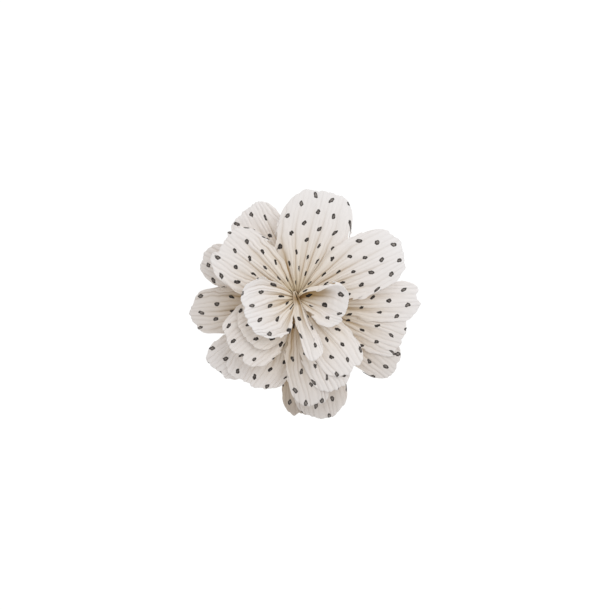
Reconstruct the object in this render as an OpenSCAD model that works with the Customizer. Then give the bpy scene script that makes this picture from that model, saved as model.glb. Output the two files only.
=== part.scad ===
// Fabric flower on a toothed spring hair clip, all sizes in mm.
// The flower faces +Z. The clip lies under it along X, jaw towards -X, and its lower lever rests on Z = 0.
// The origin is on the lower lever's underside, straight below the middle of the felt base.

/* [Clip] */
// Length of the jaw, from the hinge pin to the nose
jaw_l = 33; // [26:0.5:40]
// Length of the thumb tail, from the hinge pin to its end
tail_l = 16.5; // [12:0.5:22]
// Distance of the hinge pin from the middle of the flower, towards +X
pin_x = 6; // [0:0.5:10]
// Outside width of the upper lever
lever_w = 9.4; // [8:0.1:14]
// Sheet thickness of both levers
sheet = 0.7; // [0.5:0.05:1]
// Gap between the two flat levers when the clip is shut
gap = 5.0; // [4.5:0.1:7]
// Radius of the hinge pin
pin_r = 0.9; // [0.6:0.05:1.2]
// Radial clearance of the pin in the lower lever's ears
pin_fit = 0.05; // [0.02:0.01:0.1]
// Pitch of the grip teeth
tooth = 1.5; // [1:0.1:3]
// Radius of the spring wire
wire_r = 0.35; // [0.25:0.05:0.5]
// Whole turns of the spring coil
turns = 4; // [3:1:6]

/* [Felt backing] */
// Radius of the felt disc the petals are sewn to
base_r = 24; // [18:0.5:30]
// Radius of the felt cover glued over its back
cover_r = 21; // [12:0.5:28]
// Thickness of the felt
felt = 1.3; // [0.8:0.1:2.5]
// Length along the clip of the felt strap under the upper lever
strap_l = 6.5; // [5:0.5:9]

/* [Petals] */
// Thickness of a pleated petal as a soft solid
cloth = 0.7; // [0.5:0.05:1.2]
// Radius where the outer petals start on the base
outer_r = 12; // [10:0.5:16]
// Scale of every petal's length and width
bloom = 1; // [0.85:0.01:1.2]
// Height step between petals that lie over each other
layer_step = 1.5; // [1.3:0.05:2.5]
// Offset of the flower's heart from the middle of the felt base, X
heart_x = -2.65; // [-4:0.05:4]
// Offset of the flower's heart from the middle of the felt base, Y
heart_y = 2.2; // [-4:0.05:4]

/* [Hidden] */

$fn = 64;
eps = 0.01;

// The levers, one above the other, with the pin halfway between them.
top_z = sheet + gap;
pin_z = top_z / 2;
nose_x = pin_x - jaw_l;
tail_x = pin_x + tail_l;
ear_r = 2.3;
ear_t = 0.6;
side_gap = 0.6;
lower_w = lever_w - 2 * (ear_t + side_gap);
nose_clear = 0.45;
bend_x = pin_x - jaw_l * 0.58;

// The felt stack over the upper lever.
glue_line = 0.05;
cover_z = top_z + sheet + glue_line;
base_z = cover_z + felt + glue_line;
flower_z = base_z + felt;
strap_t = 0.85;
strap_x = pin_x - 5 - strap_l;
strap_reach = 11;

// Each petal: [direction, length, width, tip rounding, side lift right, side lift left, layer, tip drop, skew].
// Directions run anticlockwise from +X. A side lift is how far that edge stands above the petal's middle.
// A skew makes the left side longer than the right, or shorter if it is negative.
OUTER = [
    [  1, 51.0, 18.5, 0.24, -1.0, -1.0, 2, 0, 0],
    [-19, 47.5, 21.5, 0.24, -0.7, -0.8, 1, 0, 0],
    [-35, 50.5, 19.5, 0.27, -1.0, -0.6, 0, 0, 0],
    [-79, 51.5, 24.0, 0.32, -1.0, -0.8, 1, 0, 0],
    [-90, 49.5, 19.0, 0.28, -1.0, -0.8, 0, 0, 0],
    [217, 49.0, 20.0, 0.27, -1.0, -0.8, 0, 0, 0],
    [236, 43.5, 27.0, 0.30, -1.0, -1.0, 2, 0, -0.10],
    [185, 49.3, 20.0, 0.27, -1.0, -1.0, 1, 0, 0],
    [155, 48.5, 18.5, 0.26, -0.8, -1.0, 0, 0, 0],
    [121, 49.0, 23.0, 0.30, -1.0, -0.8, 1, 0, 0]
];
MIDDLE = [
    [ 76, 48.5, 32.0, 0.34, -1.2, -1.0, 0, 7, -0.05],
    [ 26, 51.0, 26.0, 0.27, -1.2, -1.0, 1, 7, 0],
    [144, 41.0, 27.0, 0.26, -1.0, -0.6, 1, 2, 0],
    [221, 36.3, 28.0, 0.30, -1.2, -1.0, 0, 0, 0],
    [216, 28.6, 22.0, 0.28, -0.8, -0.8, 2, 0, 0],
    [-81, 47.5, 19.0, 0.27, -0.8, -0.8, 1, 4, 0],
    [-66, 43.5, 19.0, 0.26, -0.8, -0.8, 2, 4, 0],
    [-53, 40.5, 20.0, 0.26, -0.8, -1.0, 3, 4, 0]
];
LEFT = [199, 23.4, 27.0, 0.34, -1.4, -1.0, 0, 0, -0.04];
FOLD = [-72, 31.0, 9.0, 0.20, 1.6, 1.0, 0, 0, 0];
CUP = [-4, 22.6, 17.0, 0.30, 2.2, 4.0, 0, 0, 0.05];

// Each ring of petals: [start radius, start width, start height, slope, droop at the tips, fan end].
// A petal widens like a fan and reaches its full width at the fan end, a share of its length.
outer_root_z = flower_z + 0.75;
middle_root_z = outer_root_z + 3 * layer_step + 1.2;
heart_root_z = middle_root_z + 3 * layer_step + 0.6;
OUTER_RING = [outer_r, 6.0, outer_root_z, 0.14, 4.2, 0.8];
MIDDLE_RING = [2.5, 2.4, middle_root_z, 0.30, 4.5, 0.8];
HEART_RING = [1.6, 2.0, heart_root_z, 0.46, 2.0, 0.65];
full_l = 50;

// Rows of facets along a petal, and columns across it.
rows = 9;
cols = 8;

function fan(s, end) = let (x = min(1, s / end)) (3 * x - pow(x, 3)) / 2;
function shoulder(t) = 1 - pow(1 - pow(abs(t), 2.2), 1 / 2.2);

// Middle surface of a petal at s along it and t across it, t from -1 on the right to 1 on the left.
function petal_at(p, ring, s, t) =
    let (
        long = p[1] * bloom - ring[0],
        u = ring[0] + long * s * (1 - p[3] * shoulder(t) + p[8] * t),
        v = t * (ring[1] + (p[2] * bloom - ring[1]) * fan(s, ring[5])) / 2,
        rho = sqrt(u * u + v * v),
        lift = (t > 0 ? p[5] : p[4]) * t * t * min(1, 1.5 * s),
        arch = ring[3] * (rho - ring[0]) - ring[4] * pow(rho / full_l, 3) - p[7] * pow(rho / full_l, 2),
        z = ring[2] + p[6] * layer_step + arch + lift
    )
    [u * cos(p[0]) - v * sin(p[0]), u * sin(p[0]) + v * cos(p[0]), z];

// A petal is a closed sheet: the middle surface moved half the cloth up and half the cloth down.
module petal(p, ring) {
    w = cols + 1;
    count = (rows + 1) * w;
    function side(up) = [
        for (i = [0:rows]) for (j = [0:cols])
            petal_at(p, ring, i / rows, sin(180 * j / cols - 90)) + [0, 0, up * cloth / 2]
    ];
    function cell(i, j) = [i * w + j, i * w + j + 1, (i + 1) * w + j + 1, (i + 1) * w + j];
    function tri(q, o) = [[q[0] + o, q[1] + o, q[2] + o], [q[0] + o, q[2] + o, q[3] + o]];
    function back(q, o) = [[q[2] + o, q[1] + o, q[0] + o], [q[3] + o, q[2] + o, q[0] + o]];
    rim = concat(
        [for (j = [0:cols - 1]) j],
        [for (i = [0:rows - 1]) i * w + cols],
        [for (j = [0:cols - 1]) rows * w + cols - j],
        [for (i = [0:rows - 1]) (rows - i) * w]
    );
    n = len(rim);
    walls = [
        for (k = [0:n - 1])
            let (a = rim[k], b = rim[(k + 1) % n])
                each [[a, a + count, b + count], [a, b + count, b]]
    ];
    top = [for (i = [0:rows - 1]) for (j = [0:cols - 1]) each tri(cell(i, j), 0)];
    under = [for (i = [0:rows - 1]) for (j = [0:cols - 1]) each back(cell(i, j), count)];
    polyhedron(concat(side(1), side(-1)), concat(top, under, walls));
}

module outer(k) color("ivory") petal(OUTER[k - 1], OUTER_RING);
module at_heart() translate([heart_x, heart_y, 0]) children();
module middle(k) color("ivory") at_heart() petal(MIDDLE[k - 1], MIDDLE_RING);

module outer_petal_1() outer(1);
module outer_petal_2() outer(2);
module outer_petal_3() outer(3);
module outer_petal_4() outer(4);
module outer_petal_5() outer(5);
module outer_petal_6() outer(6);
module outer_petal_7() outer(7);
module outer_petal_8() outer(8);
module outer_petal_9() outer(9);
module outer_petal_10() outer(10);
module middle_petal_1() middle(1);
module middle_petal_2() middle(2);
module middle_petal_3() middle(3);
module middle_petal_4() middle(4);
module middle_petal_5() middle(5);
module middle_petal_6() middle(6);
module middle_petal_7() middle(7);
module middle_petal_8() middle(8);
module heart_petal_left() color("ivory") at_heart() petal(LEFT, HEART_RING);
module heart_petal_fold() color("ivory") at_heart() petal(FOLD, HEART_RING);
module heart_petal_cup() color("ivory") at_heart() petal(CUP, HEART_RING);

// The mound of glue that carries the middle petals inside the ring of outer ones.
mound_r = outer_r - 3.8;
thread_r = 0.4;
mound_top = middle_root_z - cloth / 2 - 2 * thread_r - 4 * glue_line;
module glue_mound() color("wheat") translate([0, 0, flower_z + glue_line])
    cylinder(r1 = mound_r, r2 = mound_r - 1.5, h = mound_top - flower_z - glue_line);

// The gathering thread, wound once round the petal ends on top of the mound.
module gather_thread() color("tan") at_heart()
    translate([0, 0, mound_top + thread_r + glue_line])
    rotate_extrude() translate([3.4, 0]) circle(r = thread_r, $fn = 24);

module felt_base() color("linen") translate([0, 0, base_z]) cylinder(r = base_r, h = felt, $fn = 128);
module felt_cover() color("linen") translate([0, 0, cover_z]) cylinder(r = cover_r, h = felt, $fn = 128);

// A strap of felt that dips under the upper lever and is glued to the cover on both sides of it.
module clip_strap() {
    dip = strap_t + glue_line;
    hi = cover_z - glue_line;
    y1 = lever_w / 2 + 0.5;
    y2 = y1 + sheet + glue_line + strap_t;
    half = [
        [y1, top_z - glue_line],
        [y2 - 0.2, hi],
        [strap_reach, hi],
        [strap_reach, hi - strap_t],
        [y2 + 0.2, hi - strap_t],
        [y1 + 0.4, top_z - dip]
    ];
    other = [for (k = [len(half) - 1:-1:0]) [-half[k][0], half[k][1]]];
    color("linen") translate([strap_x, 0, 0])
        rotate([90, 0, 90]) linear_extrude(height = strap_l) polygon(concat(half, other));
}

// A flat lever outline with rounded corners at both ends.
module lever_plan(x0, x1, w, r) {
    translate([x0 + r, -w / 2]) square([x1 - x0 - 2 * r, w]);
    translate([x0, -w / 2 + r]) square([x1 - x0, w - 2 * r]);
    for (x = [x0 + r, x1 - r]) for (y = [r - w / 2, w / 2 - r]) translate([x, y]) circle(r = r);
}

// An upright plate in the XZ plane, from y to y + t.
module upright(y, t) translate([0, y + t, 0]) rotate([90, 0, 0]) linear_extrude(height = t) children();

// The saw-toothed edge of a side flange: up from z_root to z_tip, over x0 to x1.
teeth = floor((jaw_l * 0.28) / tooth);
grip_x = nose_x + 3.2;
function saw(z_root, z_tip, shift) = [
    for (k = [0:teeth - 1]) each [
        [grip_x + (k + shift) * tooth, z_root],
        [grip_x + (k + 0.5 + shift) * tooth, z_tip]
    ],
    [grip_x + (teeth + shift) * tooth, z_root]
];

module upper_lever() {
    y_out = lever_w / 2;
    color("silver") difference() {
        union() {
            translate([0, 0, top_z]) linear_extrude(height = sheet) lever_plan(nose_x, tail_x, lever_w, 2);
            for (y = [-y_out, y_out - ear_t]) {
                upright(y, ear_t) union() {
                    translate([pin_x, pin_z]) circle(r = ear_r);
                    translate([pin_x - ear_r, pin_z]) square([2 * ear_r, top_z - pin_z + eps]);
                }
                upright(y, ear_t) polygon(concat(
                    saw(top_z - 1.4, top_z - 2.3, 0.5),
                    [
                        [grip_x + (teeth + 0.5) * tooth + 1, top_z + eps],
                        [grip_x - 0.2, top_z + eps]
                    ]
                ));
            }
        }
        translate([pin_x, 0, pin_z]) rotate([90, 0, 0]) cylinder(r = pin_r, h = lever_w + 2, center = true);
    }
}

module lower_lever() {
    y_out = lower_w / 2;
    tip_z = top_z - nose_clear;
    rise = tip_z - sheet;
    run = bend_x - nose_x;
    color("silver") difference() {
        union() {
            difference() {
                linear_extrude(height = sheet) lever_plan(bend_x - 4, tail_x, lower_w, 2);
                translate([bend_x - 9, -lower_w, -1]) cube([9, 2 * lower_w, sheet + 2]);
            }
            upright(-y_out, lower_w) polygon([
                [bend_x + eps, 0],
                [bend_x + eps, sheet],
                [nose_x + 0.3, tip_z],
                [nose_x, tip_z - sheet]
            ]);
            for (y = [-y_out, y_out - ear_t]) {
                upright(y, ear_t) union() {
                    translate([pin_x, pin_z]) circle(r = ear_r);
                    translate([pin_x - ear_r, sheet - eps]) square([2 * ear_r, pin_z - sheet + eps]);
                }
                upright(y, ear_t) polygon(concat(
                    saw(tip_z - 0.9, tip_z, 0),
                    [
                        [bend_x + 0.5, sheet / 2],
                        [bend_x, sheet / 2],
                        [nose_x + 1.5, tip_z - rise * 1.5 / run - sheet / 2]
                    ]
                ));
            }
        }
        translate([pin_x, 0, pin_z]) rotate([90, 0, 0])
            cylinder(r = pin_r + pin_fit, h = lever_w + 2, center = true);
    }
}

// The pin, with a riveted head outside each ear of the upper lever.
head_r = 1.5;
head_t = 0.4;
module hinge_pin() color("gray") translate([pin_x, 0, pin_z]) rotate([90, 0, 0]) {
    cylinder(r = pin_r, h = lever_w + 2 * head_t, center = true);
    for (side = [-1, 1])
        translate([0, 0, side * (lever_w / 2 + glue_line + head_t / 2)])
            cylinder(r = head_r, h = head_t, center = true);
}

// The spring coils round the pin, with one leg under the upper tail and the other on the lower tail.
coil_r = pin_r + 0.25 + wire_r;
coil_half = lower_w / 2 - ear_t - wire_r - 0.45;
leg_x = tail_l * 0.55;
leg_clear = 0.08;
steps = 16;
sides = 8;
sweep_n = turns * steps + steps / 2;
function coil_point(k) =
    let (a = 90 + 360 * k / steps, y = -coil_half + 2 * coil_half * k / sweep_n)
    [pin_x + coil_r * cos(a), y, pin_z + coil_r * sin(a)];
WIRE = concat(
    [[pin_x + leg_x, -coil_half, top_z - wire_r - leg_clear]],
    [for (k = [0:sweep_n]) coil_point(k)],
    [[pin_x + leg_x, coil_half, sheet + wire_r + leg_clear]]
);
// The wire's section at each point is a ring in the plane of the way across the coil and outwards.
function wire_dir(k) =
    let (d = WIRE[min(k + 1, len(WIRE) - 1)] - WIRE[max(k - 1, 0)]) d / norm(d);
function wire_ring(k) =
    let (d = wire_dir(k), a = cross(d, [0, 1, 0]), out = a / norm(a), over = cross(d, out))
    [for (m = [0:sides - 1]) WIRE[k] + wire_r * (cos(360 * m / sides) * out + sin(360 * m / sides) * over)];
module torsion_spring() {
    n = len(WIRE);
    points = [for (k = [0:n - 1]) each wire_ring(k)];
    skin = [
        for (k = [0:n - 2]) for (m = [0:sides - 1])
            let (a = k * sides + m, b = k * sides + (m + 1) % sides)
                each [[a, b, b + sides], [a, b + sides, a + sides]]
    ];
    ends = [[for (m = [sides - 1:-1:0]) m], [for (m = [0:sides - 1]) (n - 1) * sides + m]];
    color("gray") polyhedron(points, concat(skin, ends));
}

outer_petal_1();
outer_petal_2();
outer_petal_3();
outer_petal_4();
outer_petal_5();
outer_petal_6();
outer_petal_7();
outer_petal_8();
outer_petal_9();
outer_petal_10();
middle_petal_1();
middle_petal_2();
middle_petal_3();
middle_petal_4();
middle_petal_5();
middle_petal_6();
middle_petal_7();
middle_petal_8();
heart_petal_left();
heart_petal_fold();
heart_petal_cup();
gather_thread();
glue_mound();
felt_base();
felt_cover();
clip_strap();
upper_lever();
lower_lever();
hinge_pin();
torsion_spring();
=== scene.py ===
import math

import bmesh
import bpy
import numpy as np
from mathutils import Matrix, Vector


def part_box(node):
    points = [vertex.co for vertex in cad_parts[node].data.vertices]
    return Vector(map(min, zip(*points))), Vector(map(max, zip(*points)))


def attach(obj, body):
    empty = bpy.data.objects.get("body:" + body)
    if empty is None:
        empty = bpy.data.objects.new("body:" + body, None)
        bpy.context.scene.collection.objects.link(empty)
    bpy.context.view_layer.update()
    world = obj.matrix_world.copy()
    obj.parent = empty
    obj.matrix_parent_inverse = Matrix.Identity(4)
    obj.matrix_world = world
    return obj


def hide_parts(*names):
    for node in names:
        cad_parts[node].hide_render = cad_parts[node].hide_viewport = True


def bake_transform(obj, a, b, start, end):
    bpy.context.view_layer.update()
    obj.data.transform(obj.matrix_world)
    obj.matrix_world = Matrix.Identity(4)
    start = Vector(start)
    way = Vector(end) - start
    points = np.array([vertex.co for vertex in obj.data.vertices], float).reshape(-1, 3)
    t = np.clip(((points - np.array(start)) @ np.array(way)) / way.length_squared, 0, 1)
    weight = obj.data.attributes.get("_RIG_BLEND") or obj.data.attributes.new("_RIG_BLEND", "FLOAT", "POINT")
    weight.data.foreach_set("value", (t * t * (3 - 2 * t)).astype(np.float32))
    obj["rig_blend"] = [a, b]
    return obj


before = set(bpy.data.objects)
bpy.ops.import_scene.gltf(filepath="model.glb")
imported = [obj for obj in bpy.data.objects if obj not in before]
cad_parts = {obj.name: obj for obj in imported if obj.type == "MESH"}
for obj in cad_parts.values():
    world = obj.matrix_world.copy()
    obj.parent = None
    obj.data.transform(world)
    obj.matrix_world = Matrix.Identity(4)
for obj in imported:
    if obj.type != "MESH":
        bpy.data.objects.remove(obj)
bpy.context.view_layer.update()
MM = 0.001


# The camera: straight above the flower, which lies face up, through a long lens.
# The middle of the felt base sits a hair left of and above the middle of the frame.
FRAME_WIDTH = 269.9 * MM
CAMERA_HEIGHT = 1.6
camera_data = bpy.data.cameras.new("camera")
camera_data.sensor_width = 36
camera_data.lens = camera_data.sensor_width * CAMERA_HEIGHT / FRAME_WIDTH
camera = bpy.data.objects.new("camera", camera_data)
camera.location = (0.9 * MM, -0.9 * MM, CAMERA_HEIGHT + 0.02)
bpy.context.collection.objects.link(camera)
bpy.context.scene.camera = camera
bpy.context.scene.view_settings.view_transform = "Standard"


# Petal cloth: crinkle cotton, a thin off-white gauze printed with small charcoal dots and then steamed into narrow
# pleats. It is matt and a little hairy. Its colour is painted a warm brown as painted shade where light only reaches
# it off other cloth, and it glows faintly with a painted glow.
def linear(code):
    """sRGB hex to the linear colour that a shader takes."""
    values = [int(code[k:k + 2], 16) / 255 for k in (1, 3, 5)]
    return [v / 12.92 if v <= 0.04045 else ((v + 0.055) / 1.055) ** 2.4 for v in values] + [1.0]


def new_material(name, **settings):
    """A material with one Principled shader, set by its socket names."""
    material = bpy.data.materials.new(name)
    material.use_nodes = True
    shader = material.node_tree.nodes["Principled BSDF"]
    for socket, value in settings.items():
        shader.inputs[socket.replace("_", " ")].default_value = value
    return material, shader


def add(material, kind, inputs=(), output=0, stops=(), **settings):
    """Adds a node and gives back one of its outputs. inputs pairs each socket's name or number with a value, a hex
    colour or another node's output. stops are a colour ramp's (place, hex colour)."""
    node = material.node_tree.nodes.new(kind)
    for name, value in settings.items():
        setattr(node, name, value)
    for socket, value in dict(inputs).items():
        if isinstance(value, bpy.types.NodeSocket):
            material.node_tree.links.new(node.inputs[socket], value)
        else:
            node.inputs[socket].default_value = linear(value) if isinstance(value, str) else value
    for k, (place, code) in enumerate(stops):
        elements = node.color_ramp.elements
        element = elements[k] if k < 2 else elements.new(1.0)
        element.position, element.color = place, linear(code)
    return node.outputs[output]


def finish(material, shader, **sockets):
    for name, source in sockets.items():
        material.node_tree.links.new(shader.inputs[name.replace("_", " ")], source)


# The cotton's faint emission is painted light: the cloth glows in its own colour, though it is no lamp.
cotton, cotton_shader = new_material(
    "printed_crinkle_cotton_painted_shade_and_glow", Roughness=0.9, Sheen_Weight=0.12, Sheen_Roughness=0.6, Specular_IOR_Level=0.12,
    Emission_Strength=0.12
)
# The cloth map is in millimetres: across the flat cloth and along it from the flower's middle.
# Dots are about 2.4 by 2.1 mm, 8.2 mm apart in rows 6.7 mm apart, every second row set half a step over.
DOT_PITCH, DOT_ROWS = 8.2, 6.7
DOT_HALF_LENGTH = 1.18
MATHS, VECTOR = "ShaderNodeMath", "ShaderNodeVectorMath"
COMBINE, SEPARATE = "ShaderNodeCombineXYZ", "ShaderNodeSeparateXYZ"
NOISE, RANGE, RAMP, MIX = "ShaderNodeTexNoise", "ShaderNodeMapRange", "ShaderNodeValToRGB", "ShaderNodeMix"
cloth_map = add(cotton, "ShaderNodeUVMap", uv_map="cloth")
print_map = add(cotton, "ShaderNodeUVMap", uv_map="print")
ragged = add(cotton, NOISE, {"Vector": cloth_map, "Scale": 1.1, "Detail": 1.0}, "Color")
ragged = add(cotton, VECTOR, {0: ragged, 1: (0.5, 0.5, 0.5)}, operation="SUBTRACT")
ragged = add(cotton, VECTOR, {0: ragged, "Scale": 0.9}, operation="SCALE")
place = add(cotton, SEPARATE, {0: add(cotton, VECTOR, {0: print_map, 1: ragged}, operation="ADD")}).node.outputs
row = add(cotton, MATHS, {0: place["Y"], 1: DOT_ROWS}, operation="DIVIDE")
row_number = add(cotton, MATHS, {0: row}, operation="FLOOR")
odd_row = add(cotton, MATHS, {0: row_number, 1: 2.0}, operation="FLOORED_MODULO")
column = add(cotton, MATHS, {0: place["X"], 1: DOT_PITCH}, operation="DIVIDE")
column = add(cotton, MATHS, {0: odd_row, 1: 0.5, 2: column}, operation="MULTIPLY_ADD")
column_number = add(cotton, MATHS, {0: column}, operation="FLOOR")
cell = add(cotton, COMBINE, {0: column_number, 1: row_number})
chance = add(cotton, "ShaderNodeTexWhiteNoise", {0: cell}, "Color")
chance = add(cotton, VECTOR, {0: chance, 1: (0.5, 0.5, 0.5)}, operation="SUBTRACT")
chance = add(cotton, SEPARATE, {0: chance}).node.outputs
# Each dot leans and sits a little differently, by up to 0.3 mm either way.
dot_place = []
for spot, pitch, drift in ((row, DOT_ROWS, chance[0]), (column, DOT_PITCH, chance[2])):
    spot = add(cotton, MATHS, {0: add(cotton, MATHS, {0: spot}, operation="FRACT"), 1: 0.5}, operation="SUBTRACT")
    spot = add(cotton, MATHS, {0: spot, 1: pitch}, operation="MULTIPLY")
    dot_place.append(add(cotton, MATHS, {0: drift, 1: 0.6, 2: spot}, operation="MULTIPLY_ADD"))
along_dot, across_dot = dot_place
lean = add(cotton, MATHS, {0: chance[1], 1: 0.9}, operation="MULTIPLY")
across_dot = add(cotton, MATHS, {0: along_dot, 1: lean, 2: across_dot}, operation="MULTIPLY_ADD")
# Near the heart the pleats close up over the dots and leave narrow slits of them showing.
along = add(cotton, "ShaderNodeAttribute", (), "Fac", attribute_name="along")
dot_reach = add(cotton, MATHS, {0: along, 1: 0.42, 2: 0.62}, operation="MULTIPLY_ADD")
away_across = add(cotton, MATHS, {0: across_dot, 1: dot_reach}, operation="DIVIDE")
away_along = add(cotton, MATHS, {0: along_dot, 1: DOT_HALF_LENGTH}, operation="DIVIDE")
away = add(cotton, VECTOR, {0: add(cotton, COMBINE, {0: away_across, 1: away_along})}, "Value", operation="LENGTH")
dot = add(cotton, RANGE, {0: away, 1: 1.1, 2: 0.9})
dot_middle = add(cotton, RANGE, {0: away, 1: 0.7, 2: 0.3})

# The cloth is browner towards the heart: a cream tone in the cloth, with painted shade deepening it to brown in the
# heart. It is painted darker down in the valleys between its pleats, as painted shade.
ridge_colour = add(cotton, RAMP, {0: along}, stops=[
    (0.0, "#5a3a1a"), (0.06, "#8a6535"), (0.12, "#bd9f6c"), (0.19, "#d8c8aa"), (0.3, "#dfd5c8"), (0.6, "#e3ddd9"),
    (1.0, "#e5e3e3"),
])
painted_shade_colour = add(cotton, RAMP, {0: along}, stops=[
    (0.0, "#2a1806"), (0.15, "#6e4a20"), (0.33, "#a98c60"), (0.6, "#bbad9c"), (1.0, "#b9b1ad"),
])
# The dots' ink is print; towards the heart it is painted darker, as painted shade.
ink_and_shade = add(cotton, RAMP, {0: along}, stops=[(0.1, "#120e0b"), (0.5, "#231e1b"), (1.0, "#4a4541")])
worn_ink_and_shade = add(cotton, RAMP, {0: along}, stops=[
    (0.1, "#1e1814"), (0.45, "#423b37"), (0.75, "#827b76"), (1.0, "#9b9691"),
])
# Painted shade: the cloth is mixed towards a darker colour wherever shade falls on it.
painted_shade = add(cotton, "ShaderNodeAttribute", (), "Fac", attribute_name="painted_shade")
cloth_and_shade_colour = add(cotton, MIX, {0: painted_shade, 6: ridge_colour, 7: painted_shade_colour}, 2, data_type="RGBA")
dot_colour = add(cotton, MIX, {0: dot_middle, 6: ink_and_shade, 7: worn_ink_and_shade}, 2, data_type="RGBA")
print_and_shade = add(cotton, MIX, {0: dot, 6: cloth_and_shade_colour, 7: dot_colour}, 2, data_type="RGBA")
# Gauze threads are 0.3 mm apart; hairs and creases between them are drawn 0.5 mm wide, the finest that shows.
weave = add(cotton, NOISE, {"Vector": cloth_map, "Scale": 1 / 0.5, "Detail": 2.0})
weave_bump = add(cotton, "ShaderNodeBump", {"Strength": 0.4, "Distance": 0.12 * MM, "Height": weave})
# Painted glow: the cloth emits light in its own painted colour, standing in for the light that thin gauze passes on,
# so it never goes quite dark in the shade.
finish(cotton, cotton_shader, Base_Color=print_and_shade, Emission_Color=print_and_shade, Normal=weave_bump)


# The petals: each is a teardrop of the pleated cotton with the pleats along it, pinched at its root and sewn down.
# The pleats lie close at the root, run together in bundles there, and open like a fan towards the rounded tip.
LAYER_STEP = 1.5
FULL_LENGTH = 50.0
PLEAT = 2.0
PLEAT_HEIGHT = 0.55
BUNDLE_HEIGHT = 1.1
CLOTH = 0.32
STEPS_PER_PLEAT, STEPS_ALONG = 14, 60
OUTER_ROOT_Z = 9.85
MIDDLE_ROOT_Z = OUTER_ROOT_Z + 3 * LAYER_STEP + 1.2
HEART_ROOT_Z = MIDDLE_ROOT_Z + 3 * LAYER_STEP + 0.6
HEART = (-2.65, 2.2)
# Each ring of petals: [middle, start radius, start width, start height, slope, droop, fan end].
OUTER_RING = [(0, 0), 12.0, 6.0, OUTER_ROOT_Z, 0.14, 4.2, 0.8]
MIDDLE_RING = [HEART, 2.5, 2.4, MIDDLE_ROOT_Z, 0.30, 4.5, 0.8]
HEART_RING = [HEART, 0.4, 1.4, HEART_ROOT_Z - 0.5, 0.46, 2.0, 0.65]


def field(rng, cells_x, cells_y):
    """A smooth random field over the unit square, from -1 to 1, read by calling it with x and y."""
    values = rng.uniform(-1, 1, (cells_x + 2, cells_y + 2))

    def read(x, y):
        x, y = np.broadcast_arrays(np.clip(x, 0, 1) * cells_x, np.clip(y, 0, 1) * cells_y)
        kx, ky = x.astype(int), y.astype(int)
        fx, fy = x - kx, y - ky
        fx, fy = fx * fx * (3 - 2 * fx), fy * fy * (3 - 2 * fy)
        low = values[kx, ky] * (1 - fx) + values[kx + 1, ky] * fx
        high = values[kx, ky + 1] * (1 - fx) + values[kx + 1, ky + 1] * fx
        return low * (1 - fy) + high * fy

    return read


def fan(s, end):
    x = np.minimum(1, s / end)
    return (3 * x - x ** 3) / 2


def open_petal(petal, ring, s, t):
    """An open petal's middle surface, s along it and t across it, as places along and across its axis and height."""
    turn, length, width, rounding, lift_right, lift_left, layer, drop, skew = petal
    middle, start, start_width, start_z, slope, droop, fan_end = ring
    shoulder = 1 - (1 - np.clip(np.abs(t), 0, 1) ** 2.6) ** (1 / 2.4)
    u = start + (length - start) * s * (1 - rounding * shoulder + skew * t)
    v = t * (start_width + (width - start_width) * fan(s, fan_end)) / 2
    rho = np.hypot(u, v)
    lift = np.where(t > 0, lift_left, lift_right) * t * t * np.minimum(1, 1.5 * s)
    z = start_z + layer * LAYER_STEP + slope * (rho - start) - droop * (rho / FULL_LENGTH) ** 3
    return np.stack([u, v, z - drop * (rho / FULL_LENGTH) ** 2 + lift], axis=-1)


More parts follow.
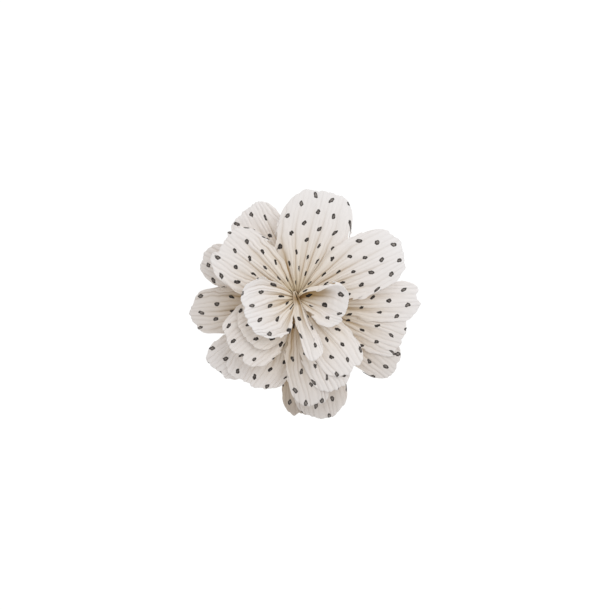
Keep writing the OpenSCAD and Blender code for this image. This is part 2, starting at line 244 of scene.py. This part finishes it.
def make_petal(name, petal, ring, depth, seed, shape=open_petal, shaded=0, gloom=None, tint=None):
    """A pleated petal. depth scales its pleats, shaded is how much painted shade stands for the shade the petals
    above throw on it, gloom gives the painted shade at s and t instead, and tint is where the heart's brown, a cream
    tone with painted shade deep in the heart, starts and ends, in mm from the middle."""
    rng = np.random.default_rng(seed)
    turn, length, width = petal[:3]
    middle, start, start_width, fan_end = ring[0], ring[1], ring[2], ring[6]
    count = max(5, round(width / PLEAT))
    sheet = bmesh.new()
    bmesh.ops.create_grid(sheet, x_segments=count * STEPS_PER_PLEAT, y_segments=STEPS_ALONG, size=1.0)
    grid = np.array([v.co for v in sheet.verts])
    t = 0.6 * grid[:, 0] + 0.4 * np.sin(grid[:, 0] * math.pi / 2)
    s = (grid[:, 1] + 1) / 2
    x = (t + 1) / 2

    # The pleats wander, and some fade out while others stay deep.
    wander, strength = field(rng, count // 2 + 1, 3), field(rng, count, 3)
    pitch = (start_width + (width - start_width) * fan(s, fan_end)) / count

    def pleats(x, s):
        phase = x * count + 0.5 * wander(x, s)
        return phase, np.abs(np.sin(math.pi * phase)) ** 0.8, 0.55 + 0.45 * strength(x, s)

    phase, ridge, strong = pleats(x, s)
    bundle = np.abs(np.sin(math.pi * phase / 3 + seed)) ** 0.8
    pleat_height = np.minimum(PLEAT_HEIGHT + 0.6 * (1 - s) ** 1.3, 0.9 * pitch) * strong * depth
    bundle_height = np.minimum(BUNDLE_HEIGHT, 2.2 * pitch) * (1 - s) ** 1.2 * depth
    swell = 0.35 * field(rng, count // 3 + 1, 2)(x, s) * np.minimum(1, 2 * s)
    flutter = 0.5 * field(rng, max(2, count // 4), 1)(x, 0.5) * s ** 4
    crinkle = 0.05 * field(rng, count * 3, 40)(x, s) + 0.14 * field(rng, count * 2, 18)(x, s)
    height = pleat_height * (ridge - 0.6) + bundle_height * (bundle - 0.6) + swell + flutter + crinkle
    # The cut edge waves, each pleat pushes the tip out a little, and the sides are wavy too.
    tip = np.clip((s - 0.6) / 0.4, 0, 1) ** 2
    wave = 1.1 * field(rng, 5, 1)(x, 0.5) + 0.9 * field(rng, count, 1)(x, 0.5) + 0.3 * ridge
    s_cut = s * (1 + tip * wave / (length - start))
    t = t * (1 + (0.05 * field(rng, 1, 6)(x, s) + 0.025 * field(rng, 1, 20)(x, s)) * np.minimum(1, 2 * s))

    e = 1e-3
    s_in, t_in = np.clip(s_cut, e, 1 - e), t * 0.998
    open_cloth = shape(petal, ring, s_cut, t)
    along_way = shape(petal, ring, s_in + e, t_in) - shape(petal, ring, s_in - e, t_in)
    across_way = shape(petal, ring, s_in, t_in + e) - shape(petal, ring, s_in, t_in - e)
    normal = np.cross(along_way, across_way)
    normal /= np.linalg.norm(normal, axis=1)[:, None]
    place = open_cloth + normal * height[:, None]
    c, d = math.cos(math.radians(turn)), math.sin(math.radians(turn))
    world = np.stack([
        middle[0] + place[:, 0] * c - place[:, 1] * d,
        middle[1] + place[:, 0] * d + place[:, 1] * c,
        place[:, 2],
    ], axis=1) * MM

    # Cloth map: flat cloth takes up more width than the petal shows, most of it down in the valleys.
    steps = np.linspace(0, 1, 4000)
    _, step_ridge, step_strong = pleats(steps, np.full(4000, 0.65))
    flat_across = np.cumsum((1 + 1.2 * (1 - step_ridge) ** 1.5 * step_strong * min(1.2, depth)) * width / 4000)
    cloth_across = np.interp(x, steps, flat_across - flat_across[2000])
    cloth_along = start + (length - start) * s * (1 - petal[3] * 0.6 * t * t)
    # Petals are cut wherever the cloth happens to lie, so the dots fall at random on each.
    shift_across, shift_along, turned = rng.uniform((0, 0, -0.4), (DOT_PITCH, 2 * DOT_ROWS, 0.4))
    print_across = cloth_across * math.cos(turned) - cloth_along * math.sin(turned) + shift_across
    print_along = cloth_across * math.sin(turned) + cloth_along * math.cos(turned) + shift_along

    radius = np.hypot(place[:, 0], place[:, 1])
    # Where the heart's brown starts and ends: partly the cloth's cream tone, partly painted shade deep in the heart.
    near, far = tint or ((6, 60) if ring is OUTER_RING else (-8, 58))
    out_from_heart = np.clip((radius - near) / (far - near), 0, 1)
    # Painted shade: the cloth's colour is darkened in the pleat valleys and bundles, under the petals above, in the
    # spoon's throat and in the pinched heart.
    shade = (1 - ridge) ** 1.5 * strong * (0.35 + 0.65 * (1 - s)) * min(1.2, depth)
    shade = shade + 1.4 * (1 - bundle) ** 1.5 * (1 - s) ** 1.5
    shade = shade + (gloom(s, t) if gloom else shaded * (1.2 - 0.4 * s))
    shade = np.clip(shade + np.clip(1 - radius / 4, 0, 1), 0, 1)
    layers = sheet.verts.layers.float
    along_layer, painted_shade_layer = layers.new("along"), layers.new("painted_shade")
    for v, co, a, b in zip(sheet.verts, world, out_from_heart, shade):
        v.co, v[along_layer], v[painted_shade_layer] = co, a, b
    cloth_layer, print_layer = sheet.loops.layers.uv.new("cloth"), sheet.loops.layers.uv.new("print")
    for face in sheet.faces:
        face.smooth = True
        for loop in face.loops:
            k = loop.vert.index
            loop[cloth_layer].uv = (cloth_across[k], cloth_along[k])
            loop[print_layer].uv = (print_across[k], print_along[k])
    bmesh.ops.recalc_face_normals(sheet, faces=sheet.faces)
    mesh = bpy.data.meshes.new(name)
    sheet.to_mesh(mesh)
    sheet.free()
    mesh.materials.append(cotton)
    piece = bpy.data.objects.new(name + "_cloth", mesh)
    bpy.context.collection.objects.link(piece)
    solid = piece.modifiers.new("thickness", "SOLIDIFY")
    solid.thickness, solid.offset = CLOTH * MM, 0
    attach(piece, "flower")
    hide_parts(name)


# Outer ring: ten petals sewn to the felt well outside the heart, so their roots don't show.
# Each is [direction, length, width, rounding, lift right, lift left, layer, drop, skew], pleat depth, and how much
# painted shade stands for the shade the petals above throw on it.
OUTER = [
    ([1, 51.0, 18.5, 0.24, -1.0, -1.0, 2, 0, 0], 0.8, 0),
    ([-19, 47.5, 21.5, 0.24, -0.7, -0.8, 1, 0, 0], 0.9, 0.1),
    ([-35, 50.5, 19.5, 0.27, -1.0, -0.6, 0, 0, 0], 0.9, 0.35),
    ([-79, 51.5, 24.0, 0.32, -1.0, -0.8, 1, 0, 0], 0.8, 0.5),
    ([-90, 49.5, 19.0, 0.28, -1.0, -0.8, 0, 0, 0], 1.0, 1.3),
    ([217, 49.0, 20.0, 0.27, -1.0, -0.8, 0, 0, 0], 0.9, 0.1),
    ([236, 43.5, 27.0, 0.30, -1.0, -1.0, 2, 0, -0.10], 0.9, 0.05),
    ([185, 49.3, 20.0, 0.27, -1.0, -1.0, 1, 0, 0], 1.3, 0.45),
    ([155, 48.5, 18.5, 0.26, -0.8, -1.0, 0, 0, 0], 1.1, 0.25),
    ([121, 49.0, 23.0, 0.30, -1.0, -0.8, 1, 0, 0], 0.9, 0.0),
]
for k, (petal, depth, shaded) in enumerate(OUTER, 1):
    make_petal(f"outer_petal_{k}", petal, OUTER_RING, depth, 100 + k, shaded=shaded)

# Middle ring: eight petals that start at the heart and lie over the outer ones. The widest stands at the top.
MIDDLE = [
    ([76, 48.5, 32.0, 0.34, -1.2, -1.0, 0, 7, -0.05], 0.5, 0.0),
    ([26, 51.0, 26.0, 0.27, -1.2, -1.0, 1, 7, 0], 0.65, 0.0),
    ([144, 41.0, 27.0, 0.26, -1.0, -0.6, 1, 2, 0], 0.9, 0.0),
    ([221, 36.3, 28.0, 0.30, -1.2, -1.0, 0, 0, 0], 1.0, 0.1),
    ([216, 28.6, 22.0, 0.28, -0.8, -0.8, 2, 0, 0], 1.0, 0.1),
    ([-81, 47.5, 19.0, 0.27, -0.8, -0.8, 1, 4, 0], 0.9, 0.45),
    ([-66, 43.5, 19.0, 0.26, -0.8, -0.8, 2, 4, 0], 0.9, 0.15),
    ([-53, 40.5, 20.0, 0.26, -0.8, -1.0, 3, 4, 0], 0.9, 0.0),
]
for k, (petal, depth, shaded) in enumerate(MIDDLE, 1):
    make_petal(f"middle_petal_{k}", petal, MIDDLE_RING, depth, 200 + k, shaded=shaded)


# Heart petals: smaller and gathered tighter. The left one is a broad low fan. The lower one is folded in half
# along its length. The right one is rolled like a spoon: its upper side stands up and curls over its own throat.
def walk_across(petal, ring, s, t, half, bend):
    """A petal bent across its axis. half gives the cloth's reach at s, and bend its tilt at s and t."""
    flat = open_petal(petal[:4] + [0, 0] + petal[6:], ring, s, t)
    tilt = bend(s[None], t[None] * np.linspace(0, 1, 61)[:, None])
    flat[:, 1] = t * half * np.cos(tilt).mean(axis=0)
    flat[:, 2] += t * half * np.sin(tilt).mean(axis=0)
    return flat


def spoon(petal, ring, s, t):
    """The right petal. Its hood's crest runs from the heart up and away to the right, and opens out at the tip."""
    s = np.clip(s, 0, 1)
    radius = 2.2 + 1.6 * s
    crest = 1.2 + 10.4 * s ** 0.42
    turned = 3.3 - 2.0 * np.clip((s - 0.5) / 0.5, 0, 1)
    reach = np.maximum(crest - radius, 0.2) + radius * turned
    low_side = (ring[2] + (petal[2] - ring[2]) * fan(s, 1.6)) / 2
    half = np.where(t > 0, reach, low_side)

    def bend(s, t):
        hood = np.clip(t * reach - np.maximum(crest - radius, 0.2), 0, None) / radius
        return hood - 0.5 * np.clip((-t - 0.5) / 0.5, 0, 1)

    return walk_across(petal, ring, s, t, half, bend)


def crease(petal, ring, s, t):
    """The lower petal: a roof whose ridge is its right edge, with the left side sloping off it, open at the tip.
    Its root is drawn back over the heart, where it hides the pinched ends of the other two."""
    def bend(s, t):
        fold = 1 - 0.9 * np.clip((s - 0.45) / 0.5, 0, 1)
        return np.where(t > 0.3, -1.5, 0.5) * fold

    half = (ring[2] + (petal[2] - ring[2]) * fan(s, 0.3)) / 2
    cloth = walk_across(petal, ring, s, t, half, bend)
    root = np.clip(1 - s / 0.12, 0, 1)
    return cloth + np.stack([-3.6 * root, 0 * root, 1.2 + 0.6 * root], axis=-1)


def painted_throat_shade(s, t):
    """Painted shade for the spoon's throat, darkest deep in it near the root. The lip over it is painted lighter, a
    painted highlight for the full light on it.
    """
    depth = np.clip(1.6 - s * 2.2, 0, 1) * np.exp(-((t - 0.25 - 0.2 * s) / 0.2) ** 2)
    return 1.2 * depth - np.clip(4 * t - 2.2, 0, 1)


make_petal(
    "heart_petal_left", [199, 23.4, 27.0, 0.34, -1.4, -1.0, 0, 0, -0.04], HEART_RING, 1.3, 301, tint=(-4, 27)
)
make_petal(
    "heart_petal_fold", [-72, 28.0, 8.6, 0.20, 0, 0, 0, 0, 0], HEART_RING, 0.8, 302, crease, tint=(-14, 42)
)
make_petal(
    "heart_petal_cup", [-17, 22.5, 21.4, 0.40, 0, 0, 0, 0, 0], HEART_RING, 0.7, 303, spoon, gloom=painted_throat_shade,
    tint=(-4.5, 29),
)


# Felt backing: pressed ivory wool felt, matt and slightly fuzzy, cut in discs with a soft rounded edge.
# The petals are sewn to the upper disc; the smaller one is glued over its back and carries the clip.
felt, felt_shader = new_material("pressed_wool_felt", Roughness=0.95, Sheen_Weight=0.4, Specular_IOR_Level=0.1)
felt_place = add(felt, "ShaderNodeTexCoord", (), "Object")
# Felt fibres are about 0.2 mm thick; they are drawn as flecks 0.8 mm wide so that they show.
fleck = add(felt, NOISE, {"Vector": felt_place, "Scale": 1 / (0.8 * MM), "Detail": 4.0})
fleck_tone = add(felt, RANGE, {0: fleck, 1: 0.35, 2: 0.65})
fleck_colour = add(felt, MIX, {0: fleck_tone, 6: "#d6cbb8", 7: "#efe8da"}, 2, data_type="RGBA")
felt_bump = add(felt, "ShaderNodeBump", {"Strength": 0.5, "Distance": 0.15 * MM, "Height": fleck})
finish(felt, felt_shader, Base_Color=fleck_colour, Normal=felt_bump)


def keep_piece(sheet, name, material, node):
    """Turns a finished bmesh into a piece that rides the flower and stands for a CAD node."""
    mesh = bpy.data.meshes.new(name)
    sheet.to_mesh(mesh)
    sheet.free()
    mesh.materials.append(material)
    piece = bpy.data.objects.new(name, mesh)
    bpy.context.collection.objects.link(piece)
    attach(piece, "flower")
    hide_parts(node)
    return piece


for name, node in (("felt_base_disc", "felt_base"), ("felt_cover_disc", "felt_cover")):
    low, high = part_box(node)
    radius, thick = (high.x - low.x) / 2, high.z - low.z
    disc = bmesh.new()
    bmesh.ops.create_cone(
        disc, cap_ends=True, segments=160, radius1=radius, radius2=radius, depth=thick,
        matrix=Matrix.Translation((low + high) / 2),
    )
    rims = [e for e in disc.edges if abs(e.verts[0].co.z - e.verts[1].co.z) < thick / 2]
    bmesh.ops.bevel(disc, geom=rims, offset=thick * 0.3, affect="EDGES", segments=3, profile=0.5, material=-1)
    for f in disc.faces:
        f.smooth = len(f.verts) == 4
    piece = keep_piece(disc, name, felt, node)


# Clip strap: a strip of the same felt that dips under the upper lever and is glued down on both sides of it.
# The CAD piece has the real shape, so it is kept and only takes the felt.
def keep_node(node, material):
    """Gives a CAD node its finish."""
    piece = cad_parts[node]
    piece.data.materials.clear()
    piece.data.materials.append(material)
    return piece


keep_node("clip_strap", felt)


# Glue mound: hot glue, poured in a low cone and let set. It is cloudy amber and smooth, with slight ripples.
glue, glue_shader = new_material("hot_melt_glue", Roughness=0.35, Specular_IOR_Level=0.5)
glue_place = add(glue, "ShaderNodeTexCoord", (), "Object")
# The clouds and the ripples are about 4 mm across.
cloud = add(glue, NOISE, {"Vector": glue_place, "Scale": 1 / (4 * MM), "Detail": 3.0})
cloud_colour = add(glue, MIX, {0: cloud, 6: "#a88b5c", 7: "#d9c8a0"}, 2, data_type="RGBA")
ripple = add(glue, "ShaderNodeBump", {"Strength": 0.6, "Distance": 0.4 * MM, "Height": cloud})
finish(glue, glue_shader, Base_Color=cloud_colour, Normal=ripple)
keep_node("glue_mound", glue)


# Gathering thread: strong cotton thread, wound three times round the petal ends, each turn on the last.
thread, thread_shader = new_material("twisted_cotton_thread", Roughness=0.8, Sheen_Weight=0.2)
thread_place = add(thread, "ShaderNodeTexCoord", (), "Object")
# The plies turn over about every 0.7 mm.
ply = add(thread, NOISE, {"Vector": thread_place, "Scale": 1 / (0.7 * MM), "Detail": 1.0})
ply_colour = add(thread, MIX, {0: ply, 6: "#8d7a58", 7: "#cbb890"}, 2, data_type="RGBA")
finish(thread, thread_shader, Base_Color=ply_colour)
low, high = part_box("gather_thread")
wind_centre = (low + high) / 2
thread_radius = (high.z - low.z) / 4
wind_radius = (high.x - low.x) / 2 - thread_radius
winding = bmesh.new()
for turn in range(3):
    ring_centre = wind_centre + Vector((0, 0, (turn - 1) * thread_radius))
    spot = ring_centre + Vector((wind_radius - (turn % 2) * thread_radius, 0, 0))
    section = bmesh.ops.create_circle(
        winding, segments=10, radius=thread_radius * 0.9,
        matrix=Matrix.Translation(spot) @ Matrix.Rotation(math.pi / 2, 4, "X"),
    )["verts"]
    loop_edges = list({e for v in section for e in v.link_edges})
    bmesh.ops.spin(
        winding, geom=section + loop_edges, cent=ring_centre, axis=(0, 0, 1), angle=2 * math.pi, steps=64,
        use_merge=True,
    )
bmesh.ops.remove_doubles(winding, verts=winding.verts, dist=1e-6)
bmesh.ops.recalc_face_normals(winding, faces=winding.faces)
for f in winding.faces:
    f.smooth = True
keep_piece(winding, "thread_winding", thread, "gather_thread")


# Clip levers and pin: mild steel strip, stamped, bent and then nickel plated, with fine marks from the rolls
# that run along the strip. The plating gives a bright, slightly warm shine with soft edges to its reflections.
nickel, nickel_shader = new_material("nickel_plated_steel", Metallic=1.0, Roughness=0.22)
nickel_place = add(nickel, "ShaderNodeTexCoord", (), "Object")
# Roll marks are 0.05 mm wide and tens of millimetres long; they are drawn 0.3 mm wide.
stretch = add(nickel, "ShaderNodeMapping", {
    "Vector": nickel_place, "Scale": (1 / (12 * MM), 1 / (0.3 * MM), 1 / (0.3 * MM)),
})
marks = add(nickel, NOISE, {"Vector": stretch, "Scale": 1.0, "Detail": 3.0})
marks_colour = add(nickel, MIX, {0: marks, 6: "#98958f", 7: "#c8c5bf"}, 2, data_type="RGBA")
shine = add(nickel, RANGE, {0: marks, 3: 0.16, 4: 0.34})
finish(nickel, nickel_shader, Base_Color=marks_colour, Roughness=shine)
for node in ("upper_lever", "lower_lever", "hinge_pin"):
    keep_node(node, nickel)


# Torsion spring: hard-drawn steel wire coiled round the pin. One leg bears under the upper tail and the other on
# the lower tail, so the coil winds up as the tails are squeezed together.
wire, wire_shader = new_material("drawn_spring_wire", Metallic=1.0, Roughness=0.3)
wire_place = add(wire, "ShaderNodeTexCoord", (), "Object")
# Marks from the drawing die, about 0.5 mm long.
drawn = add(wire, NOISE, {"Vector": wire_place, "Scale": 1 / (0.5 * MM), "Detail": 2.0})
drawn_colour = add(wire, MIX, {0: drawn, 6: "#7f8083", 7: "#a9aaad"}, 2, data_type="RGBA")
finish(wire, wire_shader, Base_Color=drawn_colour)
low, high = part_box("torsion_spring")
pin_low, pin_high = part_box("hinge_pin")
pin = (pin_low + pin_high) / 2
WIRE_RADIUS = 0.35 * MM
COIL_STEPS = 200
coil_radius = pin.x - low.x - WIRE_RADIUS
half_coil = (high.y - low.y) / 2 - WIRE_RADIUS
spring = bmesh.new()
bmesh.ops.create_circle(
    spring, segments=14, radius=WIRE_RADIUS,
    matrix=Matrix.Translation((pin.x, -half_coil, pin.z + coil_radius)) @ Matrix.Rotation(math.pi / 2, 4, "Y"),
)
first_loop = list(spring.edges)
made = bmesh.ops.spin(
    spring, geom=first_loop, cent=(pin.x, 0, pin.z), axis=(0, -1, 0), dvec=(0, 2 * half_coil / COIL_STEPS, 0),
    angle=2 * math.pi * 4.5, steps=COIL_STEPS,
)
last_loop = [g for g in made["geom_last"] if isinstance(g, bmesh.types.BMEdge)]
for loop_edges, height in ((first_loop, high.z - WIRE_RADIUS), (last_loop, low.z + WIRE_RADIUS)):
    grown = bmesh.ops.extrude_edge_only(spring, edges=loop_edges)["geom"]
    tips = [g for g in grown if isinstance(g, bmesh.types.BMVert)]
    middle_of_tips = sum((v.co for v in tips), Vector()) / len(tips)
    bmesh.ops.translate(spring, verts=tips, vec=(high.x - middle_of_tips.x, 0, height - middle_of_tips.z))
    bmesh.ops.contextual_create(
        spring, geom=[g for g in grown if isinstance(g, bmesh.types.BMEdge) and all(v in tips for v in g.verts)]
    )
bmesh.ops.recalc_face_normals(spring, faces=spring.faces)
for f in spring.faces:
    f.smooth = len(f.verts) == 4
spring_mesh = bpy.data.meshes.new("spring_wire")
spring.to_mesh(spring_mesh)
spring.free()
spring_mesh.materials.append(wire)
spring_piece = bpy.data.objects.new("spring_wire", spring_mesh)
bpy.context.collection.objects.link(spring_piece)
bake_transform(spring_piece, "flower", "jaw", (pin.x, -half_coil, pin.z), (pin.x, half_coil, pin.z))
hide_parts("torsion_spring")


# The stage: a white acrylic sheet lit from below, a soft light high on the upper right, and a pale dome over all.
acrylic, acrylic_shader = new_material("lit_white_acrylic", Roughness=0.6, Specular_IOR_Level=0.2)
acrylic_shader.inputs["Base Color"].default_value = linear("#3a3a3a")
acrylic_shader.inputs["Emission Color"].default_value = (1, 1, 1, 1)
acrylic_shader.inputs["Emission Strength"].default_value = 1.0
floor_mesh = bmesh.new()
bmesh.ops.create_grid(floor_mesh, x_segments=1, y_segments=1, size=3.0)
floor_data = bpy.data.meshes.new("floor")
floor_mesh.to_mesh(floor_data)
floor_mesh.free()
floor_data.materials.append(acrylic)
floor = bpy.data.objects.new("floor", floor_data)
floor.location.z = -0.0002
bpy.context.collection.objects.link(floor)

world = bpy.data.worlds.new("pale_dome")
world.use_nodes = True
world.node_tree.nodes["Background"].inputs["Color"].default_value = (1.0, 1.0, 1.0, 1.0)
world.node_tree.nodes["Background"].inputs["Strength"].default_value = 0.74
bpy.context.scene.world = world

key_data = bpy.data.lights.new("key", "AREA")
key_data.shape, key_data.size, key_data.energy = "SQUARE", 1.0, 4.0
key = bpy.data.objects.new("key", key_data)
key.location = (0.5, 0.6, 0.9)
key.rotation_euler = (-key.location).to_track_quat("-Z", "Y").to_euler()
bpy.context.collection.objects.link(key)
